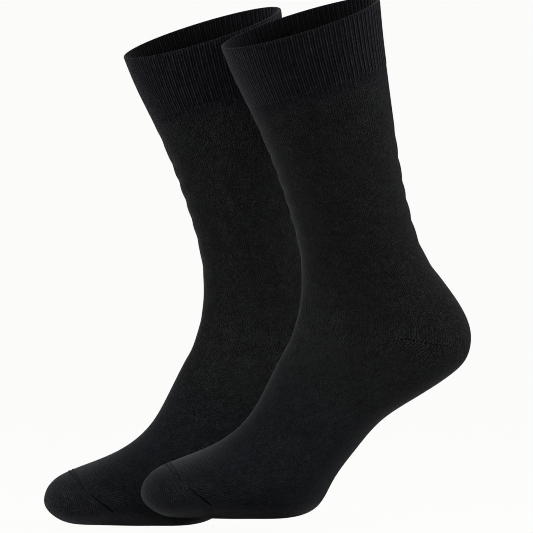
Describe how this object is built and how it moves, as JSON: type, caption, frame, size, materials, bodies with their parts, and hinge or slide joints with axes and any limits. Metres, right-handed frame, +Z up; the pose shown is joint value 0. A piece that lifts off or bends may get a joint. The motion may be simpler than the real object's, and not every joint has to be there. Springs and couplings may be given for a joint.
{
  "type": "pair of socks",
  "caption": "Pair of plain knitted ankle-length socks in their worn, hollow form, with a ribbed cuff, a turned heel pocket and a rounded toe pocket.",
  "frame": {"origin": "halfway between the middles of the two leg openings, where the wearer's legs hold the pair", "axes": "+Z up along the standing wearer, -X from heel to toe, +Y across from the near sock to the far sock"},
  "size_m": [0.2785, 0.1898, 0.3477],
  "materials": {
    "ribbed_cotton": "matt ribbed cotton knit",
    "leg_knit": "matt plain cotton knit",
    "foot_knit": "matt plain cotton knit"
  },
  "bodies": {
    "root": {"near_cuff": "ribbed_cotton", "near_leg": "leg_knit", "near_heel": "foot_knit", "near_foot": "foot_knit", "near_toe": "foot_knit", "far_cuff": "ribbed_cotton", "far_leg": "leg_knit", "far_heel": "foot_knit", "far_foot": "foot_knit", "far_toe": "foot_knit"}
  },
  "joints": []
}
